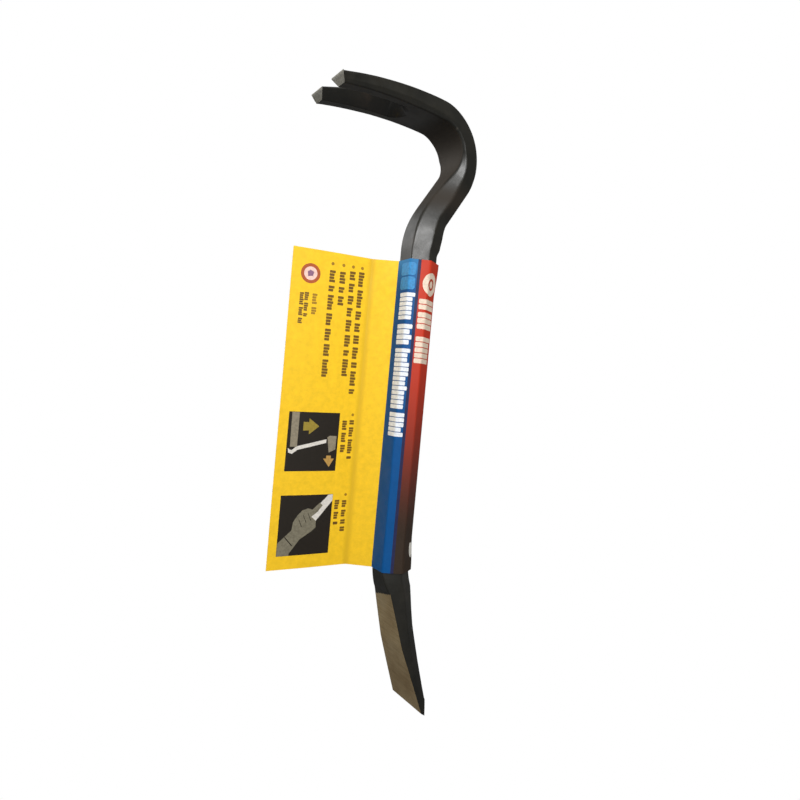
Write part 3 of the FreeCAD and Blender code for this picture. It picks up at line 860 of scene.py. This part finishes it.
# words down the sleeve (top, bottom); a line's middle, height, advance and share of the low blocks
BLUE_WORDS = ((75.4, 58.8), (56.4, 43.6), (41.6, 4.5), (2.5, -12.4))
RED_WORDS = ((72.4, 65.6), (64.4, 53.8), (49.6, 33.0))
BLUE_LINE, RED_LINE = (10.7, 11.8, 2.9, 0.88), (26.6, 14.8, 3.4, 0.92)
PATCH_AT, PATCH_SIZE, PATCH_HEIGHTS = 9.9, (11.8, 7.6), (89.6, 81.0)
SLEEVE_EMBLEM, SLEEVE_EMBLEM_RADIUS, SLEEVE_MARK = (27.4, 81.6), 7.0, (2.2, 3.6)
SCUFF, SCUFF_RADII, SCUFF_POINTS, SCUFF_RAGGED = (33.2, -83.0), (1.9, 5.2), 14, 0.25


def sleeve_words(chance, words, line):
    middle, height, advance, low = line
    blocks = []
    for top, bottom in words:
        blocks += blank_words(chance, sleeve_u(middle), top, bottom, height, advance, low)
    return blocks


def make_sleeve_print(white, cream, cyan, red, scuff):
    chance = random.Random(11)
    sleeve_ink("sleeve_print_white", sleeve_words(chance, BLUE_WORDS, BLUE_LINE), white, OVER_INK)
    patches = [rectangle(sleeve_u(PATCH_AT), height, *PATCH_SIZE) for height in PATCH_HEIGHTS]
    sleeve_ink("sleeve_print_cyan", patches, cyan)

    u, height = sleeve_u(SLEEVE_EMBLEM[0]), SLEEVE_EMBLEM[1]
    emblem = disc(u, height, SLEEVE_EMBLEM_RADIUS)
    sleeve_ink("sleeve_print_cream", sleeve_words(chance, RED_WORDS, RED_LINE) + [emblem], cream)
    sleeve_ink("sleeve_emblem_mark", list(ring_segments(u, height, *SLEEVE_MARK, SMALL_ROUND)), red, OVER_INK)

    ragged = []
    for across, up in disc(0.0, 0.0, 1.0, SCUFF_POINTS):
        reach = 1.0 + SCUFF_RAGGED * chance.uniform(-1, 1)
        u = sleeve_u(SCUFF[0]) + SCUFF_RADII[0] * reach * across
        ragged.append((u, SCUFF[1] + SCUFF_RADII[1] * reach * up))
    sleeve_ink("sleeve_scuff", [ragged], scuff)


# lines of print that run down the outer panel: (past the crease, top, bottom)
TEXT_LINES = [(6.2, 86.3, 11.0), (12.1, 85.9, 21.6), (18.5, 84.8, 64.2), (24.9, 84.8, 20.4)]
CAPTION_LINES = [(4.2, -5.0, -29.4), (8.9, -5.4, -25.2), (4.5, -55.0, -74.6), (9.3, -54.6, -70.2)]
EMBLEM_LINES = [(42.5, 69.4, 51.0), (39.6, 69.8, 55.2)]
LINE_SIZES = ((TEXT_LINES, 3.7), (CAPTION_LINES, 3.0), (EMBLEM_LINES, 2.5))
PALE_LINE = (34.7, 69.5, 57.0)
PALE_HEIGHT, PALE_ADVANCE = 3.0, 1.6
# dots that start the lines: (past the crease, height) and radius
TEXT_DOTS, TEXT_DOT_RADIUS = [(past, 88.6) for past in (6.1, 12.1, 18.3, 25.3)], 1.0
CAPTION_DOTS, CAPTION_DOT_RADIUS = [(3.9, height) for height in (-1.8, -51.6)], 0.9


def make_flap_text(text_ink, bullet_ink):
    chance = random.Random(5)
    blocks = []
    for lines, height in LINE_SIZES:
        for past, top, bottom in lines:
            blocks += blank_line(chance, flap_u(past), top, bottom, height, height / 2)
    flap_ink("flap_print_text", blocks, text_ink)

    bullets = []
    for dots, radius in ((TEXT_DOTS, TEXT_DOT_RADIUS), (CAPTION_DOTS, CAPTION_DOT_RADIUS)):
        bullets += [disc(flap_u(past), height, radius, COARSE_ROUND) for past, height in dots]
    past, top, bottom = PALE_LINE
    bullets += blank_line(chance, flap_u(past), top, bottom, PALE_HEIGHT, PALE_ADVANCE)
    flap_ink("flap_print_bullets", bullets, bullet_ink)


EMBLEM, EMBLEM_DISC, EMBLEM_RING = (38.3, 81.0), 4.4, (4.0, 5.9)
EMBLEM_SHAPE = ((-1.4, -1.9), (1.5, -1.3), (1.9, 1.0), (-0.2, 2.1), (-1.9, 0.8))


def make_flap_emblem(red, pale, violet):
    """Plain red ring round a pale disc with a small shape in its middle."""
    u, height = flap_u(EMBLEM[0]), EMBLEM[1]
    flap_ink("flap_emblem_disc", [disc(u, height, EMBLEM_DISC)], pale)
    flap_ink("flap_emblem_ring", list(ring_segments(u, height, *EMBLEM_RING)), red, OVER_INK)
    flap_ink("flap_emblem_mark", [[(u + x, height + z) for x, z in EMBLEM_SHAPE]], violet, OVER_INK)


# the pictures' grounds: (past the crease, where they end, top, bottom)
FIRST_PICTURE = (12.4, 44.0, -1.0, -36.6)
SECOND_PICTURE = (12.4, 44.6, -51.0, -87.4)


def flap_outline(points):
    return [(flap_u(past), height) for past, height in points]


def make_pictures(dark, grey, steel_grey, yellow, orange, pale):
    """Two dark squares: a lever lifting beside a post, and a gloved hand round a bar."""
    squares = []
    for near, far, top, bottom in (FIRST_PICTURE, SECOND_PICTURE):
        squares.append(flap_outline([(near, top), (far, top), (far, bottom), (near, bottom)]))
    flap_ink("flap_picture_grounds", squares, dark)

    post = flap_outline([(42.2, -1.2), (37.7, -1.2), (37.7, -21.9), (41.9, -21.9)])
    block = flap_outline([(19.3, -15.9), (17.6, -15.0), (13.4, -15.2), (13.6, -23.4), (17.7, -25.3)])
    flap_ink("flap_picture_blocks", [post, block], steel_grey, OVER_INK)

    up_arrow = flap_outline([(34.9, -6.9), (31.5, -7.1), (31.5, -4.7), (25.1, -9.4), (31.2, -14.4),
                             (31.2, -12.0), (34.9, -12.2)])
    down_arrow = flap_outline([(20.9, -29.0), (19.0, -29.0), (19.0, -27.2), (16.0, -27.2), (16.0, -29.0),
                               (13.9, -29.0), (16.8, -34.1)])
    flap_ink("flap_picture_first_arrow", [up_arrow], yellow, OVER_INK)
    flap_ink("flap_picture_second_arrow", [down_arrow], orange, OVER_INK)

    lever = flap_outline([(43.0, -22.6), (42.0, -23.6), (40.6, -23.9), (37.9, -21.6), (19.8, -17.2),
                          (19.8, -19.4), (37.2, -23.7), (40.3, -26.2), (42.7, -25.4)])
    tool = flap_outline([(15.2, -51.2), (12.5, -51.2), (12.5, -55.0), (22.4, -67.4), (25.0, -64.6),
                         (25.6, -62.2)])
    flap_ink("flap_picture_bars", [lever, tool], pale, OVER_INK)

    glove = flap_outline([(44.5, -79.6), (36.6, -72.2), (36.0, -67.2), (33.6, -63.2), (31.0, -60.4),
                          (27.6, -59.2), (24.6, -60.0), (20.4, -56.0), (18.4, -57.6), (21.2, -61.4),
                          (25.0, -64.4), (22.0, -67.0), (21.8, -71.0), (24.4, -73.4), (31.2, -77.8),
                          (37.0, -86.0), (37.2, -87.3), (44.5, -87.3)])
    flap_ink("flap_picture_glove", [glove], grey, GLOVE_INK)
    creases = []
    for past, height in ((33.0, -65.2), (30.4, -62.8), (27.6, -61.6)):
        creases.append(flap_outline([(past, height), (past - 0.4, height - 0.3), (past - 2.6, height - 5.0),
                                     (past - 2.2, height - 5.1)]))
    creases.append(flap_outline([(40.6, -76.2), (40.2, -75.9), (35.4, -81.2), (35.8, -81.7)]))
    flap_ink("flap_picture_glove_creases", creases, dark, TOP_INK)


# -------- materials

class Shader:
    """A material's node tree, with short calls for the nodes used here."""

    def __init__(self, name):
        self.material = bpy.data.materials.new(name)
        self.material.use_nodes = True
        self.tree = self.material.node_tree
        self.surface = self.tree.nodes["Principled BSDF"]
        self.place = self.add("ShaderNodeTexCoord").outputs["Object"]

    def add(self, kind, inputs=None, **settings):
        """A node; its inputs are given by name or number."""
        made = self.tree.nodes.new(kind)
        for key, value in settings.items():
            setattr(made, key, value)
        for key, value in (inputs or {}).items():
            self.give(made.inputs[key], value)
        return made

    def give(self, target, value):
        """Give an input a value or another node's output."""
        if isinstance(value, bpy.types.NodeSocket):
            self.tree.links.new(value, target)
        else:
            target.default_value = value

    def set(self, name, value):
        self.give(self.surface.inputs[name], value)

    def stretched(self, x, y, z):
        """Object coordinates scaled along each axis, for grain that runs one way."""
        return self.add("ShaderNodeMapping", {"Vector": self.place, "Scale": (x, y, z)}).outputs["Vector"]

    def noise(self, scale, detail=4.0, roughness=0.55, where=None):
        inputs = {"Vector": where or self.place, "Scale": scale, "Detail": detail, "Roughness": roughness}
        return self.add("ShaderNodeTexNoise", inputs).outputs["Fac"]

    def ramp(self, factor, *stops):
        """Colour or grey value for a factor; stops are (position, grey or (r, g, b))."""
        made = self.add("ShaderNodeValToRGB", {"Fac": factor})
        elements = made.color_ramp.elements
        while len(elements) < len(stops):
            elements.new(0.5)
        for element, (position, value) in zip(elements, stops):
            element.position = position
            colour = (value,) * 3 if isinstance(value, (int, float)) else value
            element.color = (*colour, 1.0)
        return made.outputs["Color"]

    def blend(self, factor, first, second):
        """From the first colour or grey value to the second as the factor goes from 0 to 1."""
        inputs = {0: factor}
        for number, value in ((6, first), (7, second)):
            if isinstance(value, (int, float)):
                value = (value,) * 3
            inputs[number] = value if isinstance(value, bpy.types.NodeSocket) else (*value, 1.0)
        return self.add("ShaderNodeMix", inputs, data_type="RGBA").outputs[2]

    def span(self, axis, low, high):
        """0 at one place along an axis and 1 at another, in metres, eased at both ends."""
        split = self.add("ShaderNodeSeparateXYZ", {0: self.place})
        inputs = {"Value": split.outputs[axis], "From Min": low, "From Max": high}
        return self.add("ShaderNodeMapRange", inputs, interpolation_type="SMOOTHSTEP").outputs["Result"]

    def hill(self, axis, middle, half):
        """1 at one place along an axis, falling to 0 a half width away on either side."""
        rise = self.span(axis, middle - half, middle)
        fall = self.span(axis, middle + half, middle)
        return self.product(rise, fall)

    def product(self, first, second):
        return self.add("ShaderNodeMath", {0: first, 1: second}, operation="MULTIPLY").outputs[0]

    def level_across(self):
        """1 where the surface runs square across the bar, 0 where it slopes to the front or back."""
        geometry = self.add("ShaderNodeNewGeometry")
        split = self.add("ShaderNodeSeparateXYZ", {0: geometry.outputs["Normal"]})
        slope = self.add("ShaderNodeMath", {0: split.outputs["Y"]}, operation="ABSOLUTE")
        return self.ramp(slope.outputs[0], (0.25, 1.0), (0.45, 0.0))

    def edges(self, start, end):
        """0 on flats and 1 on outward corners."""
        made = self.add("ShaderNodeNewGeometry")
        return self.ramp(made.outputs["Pointiness"], (start, 0.0), (end, 1.0))

    def relief(self, *layers):
        """Bump from (factor, depth in metres) layers, each laid over the last."""
        inputs = {"Strength": 1.0}
        for factor, depth in layers:
            inputs.update({"Height": factor, "Distance": depth})
            inputs["Normal"] = self.add("ShaderNodeBump", inputs).outputs["Normal"]
        self.set("Normal", inputs["Normal"])


# dull brown scale where the bar was heated for its bend, which is also painted shade there: its middle and
# half height, in metres
SCALE_AND_SHADE_HEIGHT, SCALE_AND_SHADE_HALF = 0.137, 0.014
SCALE_AND_SHADE_COLOUR, SCALE_AND_SHADE_ROUGHNESS = (0.028, 0.022, 0.016), 0.7


def lacquer_material():
    """Black lacquer over forging scale, worn brown on the corners; the dull band round the bend is scale and
    painted shade, and the inside of the bend gets painted shade.
    """
    m = Shader("black_lacquer")
    patches = m.noise(55.0, 5.0)
    colour = m.ramp(patches, (0.35, (0.0065, 0.0065, 0.0045)), (0.62, (0.0145, 0.013, 0.009)),
                    (0.76, (0.038, 0.026, 0.018)))
    worn = m.blend(m.ramp(m.noise(420.0, 6.0, 0.7), (0.42, 0.0), (0.62, 1.0)), 0.0, m.edges(0.54, 0.62))
    colour = m.blend(worn, colour, (0.05, 0.042, 0.032))
    # painted shade in the scale's dull colour over the inside of the bend
    inside_shade = m.product(m.span("Z", SCALE_AND_SHADE_HEIGHT, SCALE_AND_SHADE_HEIGHT + 0.01), m.level_across())
    inside_shade = m.product(inside_shade, m.span("X", -0.012, 0.01))
    # one mask for the band round the bend (forging scale and painted shade) and the painted shade inside the
    # bend
    bend = m.blend(inside_shade, m.hill("Z", SCALE_AND_SHADE_HEIGHT, SCALE_AND_SHADE_HALF), 1.0)
    m.set("Base Color", m.blend(bend, colour, SCALE_AND_SHADE_COLOUR))
    uneven = m.ramp(m.noise(130.0, 6.0, 0.65), (0.3, 0.36), (0.7, 0.52))
    m.set("Roughness", m.blend(bend, uneven, SCALE_AND_SHADE_ROUGHNESS))
    m.set("Specular IOR Level", m.ramp(bend, (0.0, 0.48), (1.0, 0.27)))
    m.set("Coat Weight", m.ramp(bend, (0.0, 0.12), (0.7, 0.0)))
    m.set("Coat Roughness", 0.28)
    m.relief((m.noise(210.0, 5.0, 0.6), 0.00009), (m.noise(1500.0, 3.0, 0.5), 0.00001))
    return m.material


def ground_steel_material():
    """Ground steel, tarnished brown, with the scratches of the wheel running across."""
    m = Shader("ground_steel")
    lines = m.noise(1.0, 5.0, 0.7, m.stretched(2600.0, 45.0, 2600.0))
    stain = m.noise(48.0, 5.0, 0.6)
    tarnished = m.ramp(stain, (0.3, (0.45, 0.31, 0.145)), (0.55, (0.62, 0.465, 0.245)),
                       (0.8, (0.70, 0.56, 0.335)))
    # the claw's tine ends are greyer than the chisel
    bare = m.ramp(stain, (0.3, (0.12, 0.12, 0.10)), (0.7, (0.20, 0.195, 0.175)))
    colour = m.blend(m.span("Z", -0.05, 0.05), tarnished, bare)
    colour = m.blend(m.ramp(lines, (0.4, 0.35), (0.6, 0.0)), colour, (0.12, 0.09, 0.05))
    m.set("Base Color", colour)
    m.set("Metallic", 0.75)
    m.set("Roughness", m.ramp(lines, (0.3, 0.52), (0.7, 0.36)))
    m.relief((lines, 0.00003), (m.noise(170.0, 3.0), 0.00004))
    return m.material


def printed_card(name, colour, shade=0.9, fade=None, painted_crease_shade=None):
    """Coated card under ink: faint mottling, specks and paper fibre.

    fade is (low, high, colour above high) in metres up the card;
    the crease argument is (middle, half width, darkest) across it: painted shade that darkens the card along
    a crease.
    """
    m = Shader(name)
    m.place = m.add("ShaderNodeAttribute", attribute_name=CARD_PLACE).outputs["Vector"]
    darker = tuple(shade * value for value in colour)
    mottle_and_crease_shade = m.ramp(m.noise(240.0, 6.0, 0.7), (0.35, darker), (0.65, colour))
    if fade:
        low, high, above = fade
        mottle_and_crease_shade = m.blend(m.span("Y", low, high), mottle_and_crease_shade, above)
    # painted shade darkening the card along a crease
    if painted_crease_shade:
        middle, half, darkest = painted_crease_shade
        crease_shade_mask = m.hill("X", middle, half)
        mottle_and_crease_shade = m.blend(crease_shade_mask, mottle_and_crease_shade, tuple(darkest * value for value in colour))
    specks = m.ramp(m.noise(2600.0, 2.0, 0.6), (0.70, 0.0), (0.76, 0.3))
    m.set("Base Color", m.blend(specks, mottle_and_crease_shade, tuple(0.7 * value + 0.2 for value in colour)))
    m.set("Roughness", m.ramp(m.noise(90.0, 5.0), (0.35, 0.46), (0.7, 0.62)))
    m.set("Specular IOR Level", 0.2)
    fibre = m.noise(1.0, 4.0, 0.65, m.stretched(1400.0, 1400.0, 420.0))
    m.relief((fibre, 0.000018), (m.noise(60.0, 3.0), 0.00012))
    return m.material


def plain_card(name, colour):
    """Uncoated card with grey fibres."""
    m = Shader(name)
    fibre = m.noise(1.0, 6.0, 0.75, m.stretched(900.0, 900.0, 260.0))
    m.set("Base Color", m.ramp(fibre, (0.32, tuple(0.72 * value for value in colour)), (0.62, colour)))
    m.set("Roughness", 0.88)
    m.relief((fibre, 0.00005))
    return m.material


def ink(name, colour, mottle=0.8):
    """A film of printing ink, a little uneven."""
    m = Shader(name)
    uneven = m.noise(700.0, 5.0, 0.7)
    thin = tuple(mottle * value for value in colour)
    m.set("Base Color", m.ramp(uneven, (0.36, thin), (0.6, colour)))
    m.set("Roughness", m.ramp(uneven, (0.3, 0.47), (0.7, 0.63)))
    m.set("Specular IOR Level", 0.28)
    m.relief((m.noise(1400.0, 3.0), 0.00001))
    return m.material


def glue_material():
    m = Shader("dried_glue")
    m.set("Base Color", m.ramp(m.noise(160.0, 4.0), (0.35, (0.55, 0.42, 0.2)), (0.7, (0.78, 0.68, 0.42))))
    m.set("Roughness", 0.3)
    m.set("Subsurface Weight", 0.2)
    m.set("Subsurface Radius", (0.001, 0.0008, 0.0004))
    m.relief((m.noise(330.0, 4.0), 0.00008))
    return m.material


# -------- build the pieces

lacquer = lacquer_material()
steel = ground_steel_material()
card_materials = [
    # the yellow print gets painted shade along its crease
    printed_card("yellow_print", (0.91, 0.558, 0.018), 0.86,
                 painted_crease_shade=((CREASE_AT - ROOT_AT) * MM, 0.0035, 0.74)),
    printed_card("blue_print", (0.0, 0.073, 0.25), fade=(0.076, 0.1, (0.02, 0.17, 0.38))),
    printed_card("navy_print", (0.02, 0.022, 0.075), 0.75),
    printed_card("red_print", (0.035, 0.022, 0.014), fade=(-0.075, 0.055, (0.50, 0.036, 0.014))),
    plain_card("card_back", (0.62, 0.60, 0.55)),
    plain_card("card_cut_edge", (0.70, 0.66, 0.56)),
]
make_bar(lacquer, steel)
make_card(card_materials)
make_glue(glue_material())
make_sleeve_print(
    ink("white_ink", (0.80, 0.83, 0.86)),
    ink("cream_ink", (0.80, 0.66, 0.52)),
    ink("cyan_ink", (0.04, 0.26, 0.56), 0.7),
    ink("sleeve_emblem_red", (0.45, 0.05, 0.02)),
    plain_card("scuffed_card", (0.75, 0.73, 0.66)),
)
make_flap_text(ink("text_ink", (0.16, 0.08, 0.008)), ink("bullet_ink", (0.36, 0.19, 0.01)))
make_flap_emblem(ink("emblem_red", (0.42, 0.09, 0.02)), ink("emblem_pale", (0.86, 0.58, 0.5)),
                 ink("emblem_violet", (0.25, 0.12, 0.2)))
make_pictures(
    ink("picture_ground", (0.014, 0.010, 0.006)),
    ink("glove_grey", (0.20, 0.18, 0.125), 0.7),
    ink("block_grey", (0.27, 0.23, 0.16), 0.75),
    ink("arrow_yellow", (0.31, 0.225, 0.03)),
    ink("arrow_orange", (0.48, 0.275, 0.07)),
    ink("bar_white", (0.70, 0.66, 0.60)),
)

# -------- stage

WHITE, ROOM, ROOM_COLOUR = 1.0, 0.14, (1.0, 0.98, 0.94, 1.0)
FLOOR_HALF, FLOOR_DROP = 6.0, 0.02


def white_for_camera(tree, output, seen, felt):
    """Let the camera see one shader and everything else another."""
    mix = tree.nodes.new("ShaderNodeMixShader")
    path = tree.nodes.new("ShaderNodeLightPath")
    tree.links.new(path.outputs["Is Camera Ray"], mix.inputs["Fac"])
    tree.links.new(felt, mix.inputs[1])
    tree.links.new(seen, mix.inputs[2])
    tree.links.new(mix.outputs[0], output.inputs["Surface"])


def make_world():
    world = bpy.data.worlds.new("studio")
    bpy.context.scene.world = world
    world.use_nodes = True
    tree = world.node_tree
    tree.nodes.clear()
    output = tree.nodes.new("ShaderNodeOutputWorld")
    seen = tree.nodes.new("ShaderNodeBackground")
    seen.inputs["Color"].default_value = (WHITE, WHITE, WHITE, 1.0)
    felt = tree.nodes.new("ShaderNodeBackground")
    felt.inputs["Color"].default_value = ROOM_COLOUR
    felt.inputs["Strength"].default_value = ROOM
    white_for_camera(tree, output, seen.outputs[0], felt.outputs[0])


def make_floor():
    """A wide pale floor under the bar."""
    data = bmesh.new()
    level, half = cad_low.z - FLOOR_DROP, FLOOR_HALF
    corners = ((-half, -half), (half, -half), (half, half), (-half, half))
    data.faces.new([data.verts.new((x, y, level)) for x, y in corners])
    m = Shader("pale_floor")
    reach = m.add("ShaderNodeVectorMath", {0: m.place}, operation="LENGTH")
    paler_farther = m.ramp(reach.outputs["Value"], (0.32, 0.12), (0.75, 0.6))
    m.set("Base Color", m.blend(m.ramp(m.noise(3.0), (0.3, 0.0), (0.7, 0.1)), paler_farther, 0.2))
    m.set("Roughness", 0.9)
    glow = m.add("ShaderNodeEmission", {"Strength": WHITE})
    white_for_camera(m.tree, m.tree.nodes["Material Output"], glow.outputs[0], m.surface.outputs[0])
    floor = object_from(data, "floor", [m.material])


def add_softbox(name, direction, distance, width, height, power):
    """Area light in a direction from the bar's middle, facing it."""
    data = bpy.data.lights.new(name, "AREA")
    data.shape = "RECTANGLE"
    data.size, data.size_y = width, height
    data.energy = power
    light = bpy.data.objects.new(name, data)
    out = Vector(direction).normalized()
    light.location = out * distance
    light.rotation_mode = "QUATERNION"
    light.rotation_quaternion = (-out).to_track_quat("-Z", "Y")
    bpy.context.scene.collection.objects.link(light)


def make_lights():
    add_softbox("front_softbox", (-0.44, -0.86, 0.58), 0.9, 0.40, 0.50, 9.6)
    add_softbox("left_fill", (-0.87, 0.50, 0.35), 1.1, 0.6, 0.6, 5.0)
    add_softbox("back_fill", (-0.35, 0.80, 0.55), 1.1, 0.5, 0.5, 1.8)


# -------- camera

CAMERA_PLACE = Vector((-0.2072, -0.2760, 0.0164))
CAMERA_AZIMUTH, CAMERA_TILT, CAMERA_ROLL = (math.radians(angle) for angle in (36.31, 1.08, 5.18))
FOCAL_PIXELS, IMAGE_PIXELS, SENSOR = 552.9, 800, 36.0


def make_camera():
    data = bpy.data.cameras.new("camera")
    data.sensor_width = SENSOR
    data.lens = FOCAL_PIXELS / IMAGE_PIXELS * SENSOR
    data.clip_start = 0.01
    camera = bpy.data.objects.new("camera", data)
    sine, cosine = math.sin(CAMERA_AZIMUTH), math.cos(CAMERA_AZIMUTH)
    forward = Vector((sine * math.cos(CAMERA_TILT), cosine * math.cos(CAMERA_TILT), -math.sin(CAMERA_TILT)))
    level_right = Vector((cosine, -sine, 0.0))
    level_up = level_right.cross(forward)
    right = level_right * math.cos(CAMERA_ROLL) + level_up * math.sin(CAMERA_ROLL)
    up = level_up * math.cos(CAMERA_ROLL) - level_right * math.sin(CAMERA_ROLL)
    matrix = camera.matrix_world.copy()
    for column, axis in enumerate((right, up, -forward, CAMERA_PLACE)):
        for row in range(3):
            matrix[row][column] = axis[row]
    camera.matrix_world = matrix
    bpy.context.scene.collection.objects.link(camera)
    bpy.context.scene.camera = camera


make_world()
make_floor()
make_lights()
make_camera()
bpy.context.scene.view_settings.view_transform = "Standard"
